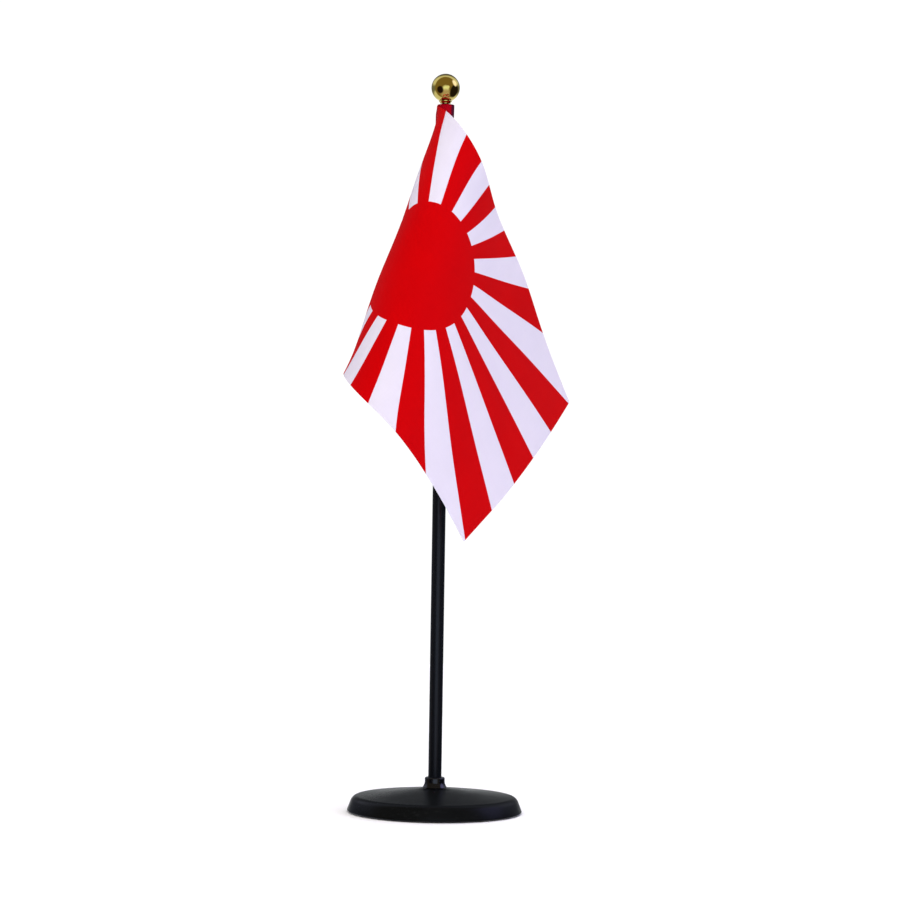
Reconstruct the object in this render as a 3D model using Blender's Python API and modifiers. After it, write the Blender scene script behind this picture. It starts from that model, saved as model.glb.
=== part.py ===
"""Desk flag stand: a weighted round base, a push-in pole with a screw-on finial, and a small flag on it."""

import math

import bmesh
import bpy

# Every size is in metres, with +Z up. The pole's axis is the Z axis and the stand's sole is at Z = 0.

# Clearances between pieces
REST_GAP = 0.0003
SIDE_GAP = 0.0003
THREAD_GAP = 0.0003
POLE_FIT = 0.0001
EDGE_BREAK = 0.0003

# Base: a moulded cover over a steel weight, closed by a plate and stood on a soft pad
PAD_RADIUS = 0.0430
PAD_THICKNESS = 0.0010
RIM_HEIGHT = 0.0006
RIM_RADIUS = 0.0522
RIM_ROUNDING = 0.0006
SHOULDER_RADIUS = 0.0458
SHOULDER_ROUNDING = 0.0046
DOME_RADIUS = 0.0100
DOME_TOP = 0.0139
DOME_FALL = 0.0042
DOME_CURVE = 1.12
SEAT_HEIGHT = 0.0144
SEAT_MARGIN = 0.0006
COVER_WALL = 0.0022
COVER_LEDGE = 0.0016
PLATE_RADIUS = 0.0480
PLATE_THICKNESS = 0.0020
WEIGHT_RADIUS = 0.0415
WEIGHT_THICKNESS = 0.0040

# Screws that hold the plate, and the bosses that they bite into
SCREW_COUNT = 3
SCREW_CIRCLE = 0.0320
SCREW_RADIUS = 0.0013
SCREW_TIP_RADIUS = 0.0005
SCREW_LENGTH = 0.0058
SCREW_POINT = 0.0012
SCREW_HEAD_RADIUS = 0.0026
SCREW_HEAD_HEIGHT = 0.0009
HEAD_RECESS = 0.0001
BOSS_RADIUS = 0.0032
BOSS_ROOT = 0.0007

# Socket: a collar on the cover, with a threaded shank held by a washer and a nut from inside
COLLAR_HEIGHT = 0.0063
COLLAR_WALL = 0.0019
COLLAR_ROUNDING = 0.0009
COLLAR_FLARE_HEIGHT = 0.0032
COLLAR_FLARE_WIDTH = 0.0012
COLLAR_FLARE_CURVE = 1.7
SOCKET_WALL = 0.0013
SOCKET_FLOOR = 0.0014
SOCKET_BOTTOM = 0.0040
WASHER_WIDTH = 0.0023
WASHER_THICKNESS = 0.0008
NUT_WALL = 0.0013
NUT_THICKNESS = 0.0024

# Pole: a painted tube with a plug in its foot and a threaded insert in its top
POLE_RADIUS = 0.0040
POLE_WALL = 0.0006
POLE_LENGTH = 0.4145
PLUG_HEAD = 0.0007
PLUG_STEM = 0.0080
INSERT_FLANGE = 0.0008
INSERT_STEM = 0.0120

# Finial: a ball on a neck, with a stud that screws into the insert
STUD_RADIUS = 0.0020
STUD_ENGAGEMENT = 0.0088
STUD_IN_BALL = 0.0036
NECK_RADIUS = 0.0040
NECK_WAIST = 0.0036
NECK_HEIGHT = 0.0017
BALL_RADIUS = 0.0085
BALL_SEAT_RADIUS = 0.0042

# Flag: a sleeve over the pole, closed at its top, and the cloth that hangs from its seam
FLAG_HEIGHT = 0.1600
SLEEVE_WALL = 0.0005
FLAG_CLOTH = 0.0007
SEAM_GAP = 0.0008
DRAPE_LEVELS = 2
# The drape's cage, in rows from the flag's top edge to its bottom edge and in columns from the seam
# to the free edge. A place is (right, back, down) from the top of the sleeve, in flag heights. The
# cloth leaves the seam to the left, rolls over a fold towards the front, crosses in front of the
# pole and trails away to the right and back.
DRAPE_ROWS = (
    (
        (-0.02, -0.16, 0.01),
        (0.17, -0.09, 0.22),
        (0.18, 0.03, 0.40),
        (0.32, 0.11, 0.62),
        (0.38, 0.25, 0.85),
        (0.50, 0.37, 1.10),
    ),
    (
        (-0.22, -0.04, 0.31),
        (-0.08, -0.38, 0.35),
        (0.13, -0.22, 0.59),
        (0.15, -0.13, 0.79),
        (0.27, 0.01, 1.03),
        (0.38, 0.12, 1.28),
    ),
    (
        (-0.12, -0.02, 0.68),
        (-0.37, -0.19, 0.65),
        (-0.14, -0.50, 0.74),
        (0.03, -0.34, 0.99),
        (0.14, -0.27, 1.20),
        (0.26, -0.13, 1.46),
    ),
    (
        (-0.15, -0.05, 1.00),
        (-0.35, -0.13, 1.00),
        (-0.39, -0.43, 1.01),
        (-0.20, -0.57, 1.16),
        (-0.05, -0.44, 1.40),
        (0.07, -0.35, 1.64),
    ),
)

# Sides of the round pieces, and how far a cutter runs past what it cuts
FINE_SIDES = 60
ROUND_SIDES = 32
SMALL_SIDES = 16
CUT_MARGIN = 0.0010

# Places that follow from the sizes above
PLATE_BOTTOM = PAD_THICKNESS + REST_GAP
PLATE_TOP = PLATE_BOTTOM + PLATE_THICKNESS
HEAD_BOTTOM = PLATE_BOTTOM + HEAD_RECESS
WEIGHT_BOTTOM = PLATE_TOP + REST_GAP
WEIGHT_TOP = WEIGHT_BOTTOM + WEIGHT_THICKNESS
ROOF_CENTRE = SEAT_HEIGHT - COVER_WALL
SOCKET_BORE = POLE_RADIUS + POLE_FIT
SHANK_RADIUS = SOCKET_BORE + SOCKET_WALL
SHANK_HOLE = SHANK_RADIUS + SIDE_GAP
COLLAR_RADIUS = SOCKET_BORE + COLLAR_WALL
COLLAR_FOOT_RADIUS = COLLAR_RADIUS + COLLAR_FLARE_WIDTH
SEAT_RADIUS = COLLAR_FOOT_RADIUS + SEAT_MARGIN
COLLAR_FOOT = SEAT_HEIGHT + REST_GAP
COLLAR_TOP = COLLAR_FOOT + COLLAR_HEIGHT
WASHER_TOP = ROOF_CENTRE - REST_GAP
WASHER_BOTTOM = WASHER_TOP - WASHER_THICKNESS
NUT_TOP = WASHER_BOTTOM - REST_GAP
NUT_BOTTOM = NUT_TOP - NUT_THICKNESS
SOCKET_SEAT = SOCKET_BOTTOM + SOCKET_FLOOR
PLUG_BOTTOM = SOCKET_SEAT + REST_GAP
PLUG_SHOULDER = PLUG_BOTTOM + PLUG_HEAD
TUBE_BOTTOM = PLUG_SHOULDER + REST_GAP
TUBE_TOP = TUBE_BOTTOM + POLE_LENGTH
TUBE_BORE = POLE_RADIUS - POLE_WALL
FLANGE_BOTTOM = TUBE_TOP + REST_GAP
FLANGE_TOP = FLANGE_BOTTOM + INSERT_FLANGE
SLEEVE_BORE = POLE_RADIUS + SIDE_GAP
SLEEVE_RADIUS = SLEEVE_BORE + SLEEVE_WALL
SLEEVE_TOP = FLANGE_TOP + REST_GAP + SLEEVE_WALL
SLEEVE_BOTTOM = SLEEVE_TOP - FLAG_HEIGHT
SEAM_X = -(SLEEVE_RADIUS + SEAM_GAP)
NECK_BOTTOM = SLEEVE_TOP + REST_GAP
NECK_TOP = NECK_BOTTOM + NECK_HEIGHT
BALL_FLAT = NECK_TOP + REST_GAP
BALL_CENTRE = BALL_FLAT + math.sqrt(BALL_RADIUS**2 - BALL_SEAT_RADIUS**2)


def clear_scene():
    for found in list(bpy.data.objects):
        bpy.data.objects.remove(found, do_unlink=True)


def new_collection(name):
    collection = bpy.data.collections.new(name)
    bpy.context.scene.collection.children.link(collection)
    return collection


def new_material(name, colour, roughness, metallic=0.0):
    material = bpy.data.materials.new(name)
    material.use_nodes = True
    shader = material.node_tree.nodes["Principled BSDF"]
    shader.inputs["Base Color"].default_value = (*colour, 1.0)
    shader.inputs["Roughness"].default_value = roughness
    shader.inputs["Metallic"].default_value = metallic
    material.diffuse_color = (*colour, 1.0)
    return material


def new_piece(name, mesh, material, collection, parent=None):
    piece = bpy.data.objects.new(name, mesh)
    piece.data.materials.append(material)
    piece.parent = parent
    collection.objects.link(piece)
    return piece


def new_body(name, height, parent, collection):
    """An empty on the pole's axis at this height: the pieces under it move together."""
    body = bpy.data.objects.new(name, None)
    body.empty_display_size = 0.01
    body.parent = parent
    body.location.z = height - (parent.matrix_world.translation.z if parent else 0.0)
    collection.objects.link(body)
    bpy.context.view_layer.update()
    return body


def arc(centre, radius, start, end, steps):
    """Points of an arc in the XZ plane, with angles in degrees from +X towards +Z."""
    points = []
    for step in range(steps + 1):
        angle = math.radians(start + (end - start) * step / steps)
        points.append((centre[0] + radius * math.cos(angle), centre[1] + radius * math.sin(angle)))
    return points


def turned(name, profile, sides, closed, base=0.0):
    """A mesh object turned about Z from (radius, height) points that run down the outer side."""
    mesh = bpy.data.meshes.new(name)
    shape = bmesh.new()
    points = [shape.verts.new((radius, 0.0, height - base)) for radius, height in profile]
    for first, second in zip(points, points[1:]):
        shape.edges.new((first, second))
    if closed:
        shape.edges.new((points[-1], points[0]))
    shape.to_mesh(mesh)
    shape.free()
    turned_object = bpy.data.objects.new(name, mesh)
    screw = turned_object.modifiers.new("Turn", "SCREW")
    screw.steps = sides
    screw.render_steps = sides
    screw.use_merge_vertices = True
    screw.merge_threshold = 0.00001
    screw.use_smooth_shade = True
    return turned_object


def turned_piece(name, profile, sides, closed, material, collection, body):
    """A turned piece whose origin is on its body's axis."""
    piece = turned(name, profile, sides, closed, body.matrix_world.translation.z)
    piece.data.materials.append(material)
    piece.parent = body
    collection.objects.link(piece)
    return piece


def around_axis(radius, count):
    """Places evenly spaced on a circle about the axis, with the first one at the back."""
    for number in range(count):
        angle = math.radians(90.0 + 360.0 * number / count)
        yield radius * math.cos(angle), radius * math.sin(angle)


def rods(name, radius, bottom, top, collection):
    """Upright rods at the screws' places, joined in one helper for a Boolean."""
    mesh = bpy.data.meshes.new(name)
    shape = bmesh.new()
    for x, y in around_axis(SCREW_CIRCLE, SCREW_COUNT):
        made = bmesh.ops.create_cone(
            shape,
            cap_ends=True,
            segments=SMALL_SIDES,
            radius1=radius,
            radius2=radius,
            depth=top - bottom,
        )
        bmesh.ops.translate(shape, vec=(x, y, (bottom + top) / 2), verts=made["verts"])
    shape.to_mesh(mesh)
    shape.free()
    helper = bpy.data.objects.new(name, mesh)
    helper.hide_render = True
    helper.display_type = "WIRE"
    collection.objects.link(helper)
    return helper


def combine(piece, helper, operation):
    boolean = piece.modifiers.new(helper.name, "BOOLEAN")
    boolean.operation = operation
    boolean.object = helper


def dome_height(radius):
    """Height of the cover's shallow dome at this radius."""
    share = max(0.0, (radius - DOME_RADIUS) / (SHOULDER_RADIUS - DOME_RADIUS))
    return DOME_TOP - DOME_FALL * share**DOME_CURVE


def dome_points(lift):
    """The dome from its middle to its shoulder, moved up by lift."""
    steps = 5
    radii = [DOME_RADIUS + (SHOULDER_RADIUS - DOME_RADIUS) * step / steps for step in range(steps + 1)]
    return [(radius, dome_height(radius) + lift) for radius in radii]


def make_cover(material, collection, cutters, body):
    plate_pocket = PLATE_RADIUS + SIDE_GAP
    ledge_height = PLATE_TOP + REST_GAP
    inner_corner = dome_height(SHOULDER_RADIUS) - COVER_WALL - SHOULDER_ROUNDING / 4
    inner_radius = plate_pocket - COVER_LEDGE
    shoulder_centre = (SHOULDER_RADIUS, dome_height(SHOULDER_RADIUS) - SHOULDER_ROUNDING)
    rim_centre = (RIM_RADIUS - RIM_ROUNDING, RIM_HEIGHT + RIM_ROUNDING)
    profile = [(SHANK_HOLE, SEAT_HEIGHT), (SEAT_RADIUS, SEAT_HEIGHT)]
    profile += dome_points(0.0)
    profile += arc(shoulder_centre, SHOULDER_ROUNDING, 72.0, 18.0, 5)
    profile += arc(rim_centre, RIM_ROUNDING, 10.0, -90.0, 3)
    profile += [
        (plate_pocket, RIM_HEIGHT),
        (plate_pocket, ledge_height),
        (inner_radius, ledge_height),
        (inner_radius, inner_corner),
    ]
    profile += list(reversed(dome_points(-COVER_WALL)))
    profile += [(SEAT_RADIUS + COVER_WALL / 2, ROOF_CENTRE), (SHANK_HOLE, ROOF_CENTRE)]
    cover = turned_piece("base_cover", profile, FINE_SIDES, True, material, collection, body)
    pilot_top = dome_height(SCREW_CIRCLE) - COVER_WALL
    bosses = rods("screw_bosses", BOSS_RADIUS, WEIGHT_BOTTOM, pilot_top + BOSS_ROOT, cutters)
    pilots = rods("pilot_holes", SCREW_RADIUS + THREAD_GAP, 0.0, pilot_top, cutters)
    combine(cover, bosses, "UNION")
    combine(cover, pilots, "DIFFERENCE")
    return cover


def make_weight(material, collection, cutters, body):
    profile = [
        (SHANK_HOLE, WEIGHT_TOP),
        (WEIGHT_RADIUS - EDGE_BREAK, WEIGHT_TOP),
        (WEIGHT_RADIUS, WEIGHT_TOP - EDGE_BREAK),
        (WEIGHT_RADIUS, WEIGHT_BOTTOM + EDGE_BREAK),
        (WEIGHT_RADIUS - EDGE_BREAK, WEIGHT_BOTTOM),
        (SHANK_HOLE, WEIGHT_BOTTOM),
    ]
    weight = turned_piece("base_weight", profile, FINE_SIDES, True, material, collection, body)
    passages = rods("boss_passages", BOSS_RADIUS + SIDE_GAP, 0.0, SEAT_HEIGHT, cutters)
    combine(weight, passages, "DIFFERENCE")
    return weight


def make_plate(material, collection, cutters, body):
    profile = [
        (0.0, PLATE_TOP),
        (PLATE_RADIUS - EDGE_BREAK, PLATE_TOP),
        (PLATE_RADIUS, PLATE_TOP - EDGE_BREAK),
        (PLATE_RADIUS, PLATE_BOTTOM + EDGE_BREAK),
        (PLATE_RADIUS - EDGE_BREAK, PLATE_BOTTOM),
        (0.0, PLATE_BOTTOM),
    ]
    plate = turned_piece("base_plate", profile, FINE_SIDES, False, material, collection, body)
    holes = rods("plate_holes", SCREW_RADIUS + SIDE_GAP, 0.0, WEIGHT_TOP, cutters)
    pocket_top = HEAD_BOTTOM + SCREW_HEAD_HEIGHT + REST_GAP
    pockets = rods("head_pockets", SCREW_HEAD_RADIUS + SIDE_GAP, 0.0, pocket_top, cutters)
    combine(plate, holes, "DIFFERENCE")
    combine(plate, pockets, "DIFFERENCE")
    return plate


def make_pad(material, collection, body):
    profile = [
        (0.0, PAD_THICKNESS),
        (PAD_RADIUS, PAD_THICKNESS),
        (PAD_RADIUS, 0.0),
        (0.0, 0.0),
    ]
    return turned_piece("base_pad", profile, FINE_SIDES, False, material, collection, body)


def make_screws(material, collection, body):
    """Pan-head screws that point up through the plate into the cover's bosses."""
    head_top = HEAD_BOTTOM + SCREW_HEAD_HEIGHT
    tip = HEAD_BOTTOM + SCREW_LENGTH
    rounding = SCREW_HEAD_HEIGHT / 3
    profile = [
        (0.0, tip),
        (SCREW_TIP_RADIUS, tip),
        (SCREW_RADIUS, tip - SCREW_POINT),
        (SCREW_RADIUS, head_top),
        (SCREW_HEAD_RADIUS, head_top),
        (SCREW_HEAD_RADIUS, HEAD_BOTTOM + rounding),
        (SCREW_HEAD_RADIUS - rounding, HEAD_BOTTOM),
        (0.0, HEAD_BOTTOM),
    ]
    for number, (x, y) in enumerate(around_axis(SCREW_CIRCLE, SCREW_COUNT), start=1):
        name = f"base_screw_{number}"
        screw = turned_piece(name, profile, SMALL_SIDES, False, material, collection, body)
        screw.location = (x, y, 0.0)


def flare_points(steps):
    """The collar's hollow flare, from its straight top down to its foot."""
    points = []
    for step in range(steps + 1):
        share = step / steps
        radius = COLLAR_RADIUS + COLLAR_FLARE_WIDTH * share**COLLAR_FLARE_CURVE
        points.append((radius, COLLAR_FOOT + EDGE_BREAK + COLLAR_FLARE_HEIGHT * (1.0 - share)))
    return points


def make_socket(material, collection, body):
    rounding_centre = (COLLAR_RADIUS - COLLAR_ROUNDING, COLLAR_TOP - COLLAR_ROUNDING)
    profile = [
        (0.0, SOCKET_SEAT),
        (SOCKET_BORE, SOCKET_SEAT),
        (SOCKET_BORE, COLLAR_TOP - EDGE_BREAK),
        (SOCKET_BORE + EDGE_BREAK, COLLAR_TOP),
    ]
    profile += arc(rounding_centre, COLLAR_ROUNDING, 90.0, 0.0, 4)
    profile += flare_points(5)
    profile += [
        (COLLAR_FOOT_RADIUS - EDGE_BREAK, COLLAR_FOOT),
        (SHANK_RADIUS, COLLAR_FOOT),
        (SHANK_RADIUS, SOCKET_BOTTOM),
        (0.0, SOCKET_BOTTOM),
    ]
    return turned_piece("pole_socket", profile, ROUND_SIDES, False, material, collection, body)


def make_washer(material, collection, body):
    outer = SHANK_HOLE + WASHER_WIDTH
    profile = [
        (SHANK_HOLE, WASHER_TOP),
        (outer, WASHER_TOP),
        (outer, WASHER_BOTTOM),
        (SHANK_HOLE, WASHER_BOTTOM),
    ]
    return turned_piece("socket_washer", profile, ROUND_SIDES, True, material, collection, body)


def make_nut(material, collection, cutters, body):
    """A hexagon nut: a six-sided block with the thread's hole cut through it."""
    corner_radius = 2.0 * (SHANK_HOLE + NUT_WALL) / math.sqrt(3.0)
    mesh = bpy.data.meshes.new("socket_nut")
    shape = bmesh.new()
    bmesh.ops.create_cone(
        shape,
        cap_ends=True,
        segments=6,
        radius1=corner_radius,
        radius2=corner_radius,
        depth=NUT_THICKNESS,
    )
    shape.to_mesh(mesh)
    shape.free()
    nut = new_piece("socket_nut", mesh, material, collection, body)
    nut.location.z = (NUT_TOP + NUT_BOTTOM) / 2
    hole_profile = [
        (0.0, NUT_TOP + CUT_MARGIN),
        (SHANK_HOLE, NUT_TOP + CUT_MARGIN),
        (SHANK_HOLE, NUT_BOTTOM - CUT_MARGIN),
        (0.0, NUT_BOTTOM - CUT_MARGIN),
    ]
    hole = turned("nut_hole", hole_profile, ROUND_SIDES, False)
    hole.hide_render = True
    hole.display_type = "WIRE"
    cutters.objects.link(hole)
    combine(nut, hole, "DIFFERENCE")
    return nut


def make_tube(material, collection, body):
    profile = [
        (TUBE_BORE, TUBE_TOP),
        (POLE_RADIUS, TUBE_TOP),
        (POLE_RADIUS, TUBE_BOTTOM),
        (TUBE_BORE, TUBE_BOTTOM),
    ]
    return turned_piece("pole_tube", profile, ROUND_SIDES, True, material, collection, body)


def make_foot_plug(material, collection, body):
    stem = TUBE_BORE - SIDE_GAP
    stem_top = PLUG_SHOULDER + PLUG_STEM
    profile = [
        (0.0, stem_top),
        (stem - EDGE_BREAK, stem_top),
        (stem, stem_top - EDGE_BREAK),
        (stem, PLUG_SHOULDER),
        (POLE_RADIUS, PLUG_SHOULDER),
        (POLE_RADIUS, PLUG_BOTTOM + EDGE_BREAK),
        (POLE_RADIUS - EDGE_BREAK, PLUG_BOTTOM),
        (0.0, PLUG_BOTTOM),
    ]
    return turned_piece("pole_foot_plug", profile, ROUND_SIDES, False, material, collection, body)


def make_top_insert(material, collection, body):
    thread = STUD_RADIUS + THREAD_GAP
    stem = TUBE_BORE - SIDE_GAP
    profile = [
        (thread, FLANGE_TOP),
        (POLE_RADIUS, FLANGE_TOP),
        (POLE_RADIUS, FLANGE_BOTTOM),
        (stem, FLANGE_BOTTOM),
        (stem, FLANGE_BOTTOM - INSERT_STEM),
        (thread, FLANGE_BOTTOM - INSERT_STEM),
    ]
    return turned_piece("pole_top_insert", profile, ROUND_SIDES, True, material, collection, body)


def make_stud(material, collection, body):
    bottom = FLANGE_TOP - STUD_ENGAGEMENT
    top = BALL_FLAT + STUD_IN_BALL
    profile = [
        (0.0, top),
        (STUD_RADIUS, top),
        (STUD_RADIUS, bottom + EDGE_BREAK),
        (STUD_RADIUS - EDGE_BREAK, bottom),
        (0.0, bottom),
    ]
    return turned_piece("finial_stud", profile, SMALL_SIDES, False, material, collection, body)


def make_neck(material, collection, body):
    """A waisted spacer between the sleeve's closed top and the ball."""
    hole = STUD_RADIUS + SIDE_GAP
    profile = [(hole, NECK_TOP)]
    steps = 6
    for step in range(steps + 1):
        share = step / steps
        radius = NECK_RADIUS - (NECK_RADIUS - NECK_WAIST) * math.sin(math.pi * share)
        profile.append((radius, NECK_TOP - NECK_HEIGHT * share))
    profile.append((hole, NECK_BOTTOM))
    return turned_piece("finial_neck", profile, ROUND_SIDES, True, material, collection, body)


def make_ball(material, collection, body):
    """A ball with a small flat where it sits on the neck, and a blind hole that holds the stud."""
    hole = STUD_RADIUS + SIDE_GAP
    hole_top = BALL_FLAT + STUD_IN_BALL + REST_GAP
    cut_angle = math.degrees(math.asin((BALL_FLAT - BALL_CENTRE) / BALL_RADIUS))
    profile = arc((0.0, BALL_CENTRE), BALL_RADIUS, 90.0, cut_angle, 14)
    profile += [(hole, BALL_FLAT), (hole, hole_top), (0.0, hole_top)]
    return turned_piece("finial_ball", profile, ROUND_SIDES, False, material, collection, body)


def make_sleeve(material, collection, body):
    """A cloth tube over the pole. Its closed top hangs on the insert's flange and lets the stud through."""
    stud_hole = STUD_RADIUS + SIDE_GAP
    closed_end = SLEEVE_TOP - SLEEVE_WALL
    profile = [
        (stud_hole, SLEEVE_TOP),
        (SLEEVE_RADIUS - EDGE_BREAK, SLEEVE_TOP),
        (SLEEVE_RADIUS, SLEEVE_TOP - EDGE_BREAK),
        (SLEEVE_RADIUS, SLEEVE_BOTTOM),
        (SLEEVE_BORE, SLEEVE_BOTTOM),
        (SLEEVE_BORE, closed_end),
        (stud_hole, closed_end),
    ]
    return turned_piece("flag_sleeve", profile, ROUND_SIDES, True, material, collection, body)


def drape_rows():
    """The cage's rows in metres, each starting on the seam at its own share of the flag's height."""
    for number, row in enumerate(DRAPE_ROWS):
        seam_height = SLEEVE_TOP - FLAG_HEIGHT * number / (len(DRAPE_ROWS) - 1)
        places = [(SEAM_X, 0.0, seam_height)]
        for right, back, down in row:
            places.append((FLAG_HEIGHT * right, FLAG_HEIGHT * back, SLEEVE_TOP - FLAG_HEIGHT * down))
        yield places


def make_cloth(material, collection, body):
    """The hanging cloth: a coarse cage smoothed by subdivision and given the cloth's thickness."""
    rows = list(drape_rows())
    mesh = bpy.data.meshes.new("flag_cloth")
    shape = bmesh.new()
    base = body.matrix_world.translation.z
    grid = [[shape.verts.new((x, y, z - base)) for x, y, z in row] for row in rows]
    for upper, lower in zip(grid, grid[1:]):
        for column in range(len(upper) - 1):
            corners = (upper[column], lower[column], lower[column + 1], upper[column + 1])
            shape.faces.new(corners)
    shape.to_mesh(mesh)
    shape.free()
    cloth = new_piece("flag_cloth", mesh, material, collection, body)
    soften = cloth.modifiers.new("Soften", "SUBSURF")
    soften.levels = DRAPE_LEVELS
    soften.render_levels = DRAPE_LEVELS
    soften.boundary_smooth = "PRESERVE_CORNERS"
    thicken = cloth.modifiers.new("Thicken", "SOLIDIFY")
    thicken.thickness = FLAG_CLOTH
    thicken.offset = 0.0
    return cloth


def build():
    clear_scene()
    stand = new_collection("desk_flag_stand")
    cutters = new_collection("cutters")
    cutters.hide_render = True

    black_plastic = new_material("black_plastic", (0.022, 0.022, 0.024), 0.42)
    black_gloss = new_material("black_gloss", (0.012, 0.012, 0.015), 0.22)
    steel = new_material("steel", (0.55, 0.56, 0.58), 0.35, 1.0)
    brass = new_material("brass", (0.78, 0.60, 0.28), 0.30, 1.0)
    gold = new_material("gold", (0.90, 0.70, 0.28), 0.08, 1.0)
    foam = new_material("foam", (0.030, 0.030, 0.032), 0.95)
    cloth_red = new_material("cloth_red", (0.62, 0.0, 0.012), 0.80)

    base = new_body("base", 0.0, None, stand)
    pole = new_body("pole", PLUG_BOTTOM, base, stand)
    flag = new_body("flag", FLANGE_TOP, pole, stand)
    ferrule = new_body("ferrule", NECK_BOTTOM, pole, stand)
    finial = new_body("finial", BALL_CENTRE, ferrule, stand)

    make_cover(black_plastic, stand, cutters, base)
    make_weight(steel, stand, cutters, base)
    make_plate(black_plastic, stand, cutters, base)
    make_pad(foam, stand, base)
    make_screws(steel, stand, base)
    make_socket(black_gloss, stand, base)
    make_washer(steel, stand, base)
    make_nut(steel, stand, cutters, base)
    make_tube(black_gloss, stand, pole)
    make_foot_plug(black_plastic, stand, pole)
    make_top_insert(brass, stand, pole)
    make_sleeve(cloth_red, stand, flag)
    make_cloth(cloth_red, stand, flag)
    make_neck(gold, stand, ferrule)
    make_stud(steel, stand, finial)
    make_ball(gold, stand, finial)


build()
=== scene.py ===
import math

import bpy
import numpy as np
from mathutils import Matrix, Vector


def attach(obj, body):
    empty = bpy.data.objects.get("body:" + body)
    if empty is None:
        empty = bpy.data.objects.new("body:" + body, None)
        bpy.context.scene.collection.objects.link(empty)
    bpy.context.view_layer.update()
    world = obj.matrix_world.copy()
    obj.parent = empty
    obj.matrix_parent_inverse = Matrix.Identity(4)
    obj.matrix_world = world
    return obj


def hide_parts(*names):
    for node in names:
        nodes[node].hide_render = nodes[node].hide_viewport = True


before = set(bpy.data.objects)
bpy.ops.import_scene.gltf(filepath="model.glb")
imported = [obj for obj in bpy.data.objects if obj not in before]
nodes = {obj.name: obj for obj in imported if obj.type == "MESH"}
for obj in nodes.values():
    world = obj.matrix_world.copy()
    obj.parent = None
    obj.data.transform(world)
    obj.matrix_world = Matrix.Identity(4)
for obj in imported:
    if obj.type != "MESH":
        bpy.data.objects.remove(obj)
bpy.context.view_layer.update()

# ---------------------------------------------------------------------------------------------
# Camera, floor and lights. The stand is looked at level with its middle through a long lens. It
# stands on a plain white floor, lit by soft boxes in front, at the right, overhead and behind.
scene = bpy.context.scene
scene.view_settings.view_transform = "Standard"


def let_go():
    """Leaves nothing selected, so that the next step works on its own piece only."""
    if bpy.context.mode != "OBJECT":
        bpy.ops.object.mode_set(mode="OBJECT")
    bpy.ops.object.select_all(action="DESELECT")


let_go()
bpy.ops.object.camera_add(
    location=(0.006, -1.714, 0.2165),
    rotation=(math.radians(90.0), math.radians(-0.9), 0.0),
)
camera = bpy.context.object
camera.data.sensor_width = 36.0
camera.data.lens = 114.7
camera.data.clip_start = 0.05
scene.camera = camera

let_go()
bpy.ops.mesh.primitive_circle_add(vertices=128, radius=1.2, fill_type="NGON", location=(0, 0, -0.0001))
floor = bpy.context.object
floor.name = "studio_floor"
floor.visible_glossy = False
floor_paint = bpy.data.materials.new("floor_white")
floor_paint.use_nodes = True
floor_shader = floor_paint.node_tree.nodes["Principled BSDF"]
floor_shader.inputs["Base Color"].default_value = (0.94, 0.94, 0.94, 1.0)
floor_shader.inputs["Roughness"].default_value = 0.9
floor.data.materials.append(floor_paint)


def soft_box(name, place, aim, width, height, power, colour):
    """A rectangular soft box turned to its aim. It lights the stand but leaves no glint on it."""
    let_go()
    turn = (Vector(aim) - Vector(place)).to_track_quat("-Z", "Y").to_euler()
    bpy.ops.object.light_add(type="AREA", location=place, rotation=turn)
    box = bpy.context.object
    box.name = name
    box.data.shape = "RECTANGLE"
    box.data.size = width
    box.data.size_y = height
    box.data.energy = power
    box.data.color = colour
    box.visible_camera = False
    box.visible_glossy = False


MIDDLE = (0.0, 0.0, 0.25)
soft_box("front_box", (-0.9, -2.3, 1.2), MIDDLE, 1.8, 1.6, 36.0, (1.0, 0.985, 1.0))
soft_box("right_box", (1.7, -1.2, 0.9), MIDDLE, 1.2, 1.4, 14.0, (0.97, 0.98, 1.0))
soft_box("roof_box", (0.0, 0.3, 2.2), (0.0, 0.0, 0.0), 3.0, 3.0, 42.0, (1.0, 1.0, 1.0))
soft_box("back_box", (0.6, 2.2, 1.3), MIDDLE, 1.6, 1.4, 22.0, (1.0, 1.0, 1.0))

# What the gloss pieces mirror: a warm dim room, a white wall round the back that is dark low down, a
# window behind the camera, a lamp high on the right and dark furniture low at both sides. Each
# patch is (direction, half angle, softness, light).
ROOM_LIGHT = (0.185, 0.135, 0.062)
WALL_LIGHT = (0.62, 0.64, 0.80)
LOW_WALL_LIGHT = (0.15, 0.16, 0.21)
ROOM_PATCHES = (
    ((0.0, 0.80, 0.62), 26.0, 14.0, (0.10, 0.10, 0.12)),
    ((0.0, 1.0, 0.08), 30.0, 14.0, (0.10, 0.105, 0.115)),
    ((0.0, 1.0, -0.30), 22.0, 12.0, (0.90, 0.93, 0.95)),
    ((0.02, -1.0, -0.20), 22.0, 12.0, (0.82, 0.97, 1.25)),
    ((0.0, -0.62, -0.80), 34.0, 16.0, (0.42, 0.36, 0.42)),
    ((0.34, -0.90, 0.06), 9.0, 5.0, (0.80, 0.90, 1.10)),
    ((-0.72, -0.66, -0.30), 27.0, 6.0, (0.016, 0.008, 0.010)),
    ((0.93, -0.06, -0.32), 41.0, 7.0, (0.014, 0.010, 0.010)),
    ((0.88, 0.0, 0.50), 17.0, 6.0, (1.20, 1.15, 2.30)),
)
room = bpy.data.worlds.new("studio_room")
room.use_nodes = True
scene.world = room
room_nodes = room.node_tree.nodes
room_links = room.node_tree.links
background = room_nodes["Background"]
background.inputs["Strength"].default_value = 1.0
ray = room_nodes.new("ShaderNodeLightPath")
direction = room_nodes.new("ShaderNodeTexCoord").outputs["Generated"]
split = room_nodes.new("ShaderNodeSeparateXYZ")
room_links.new(direction, split.inputs[0])


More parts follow.
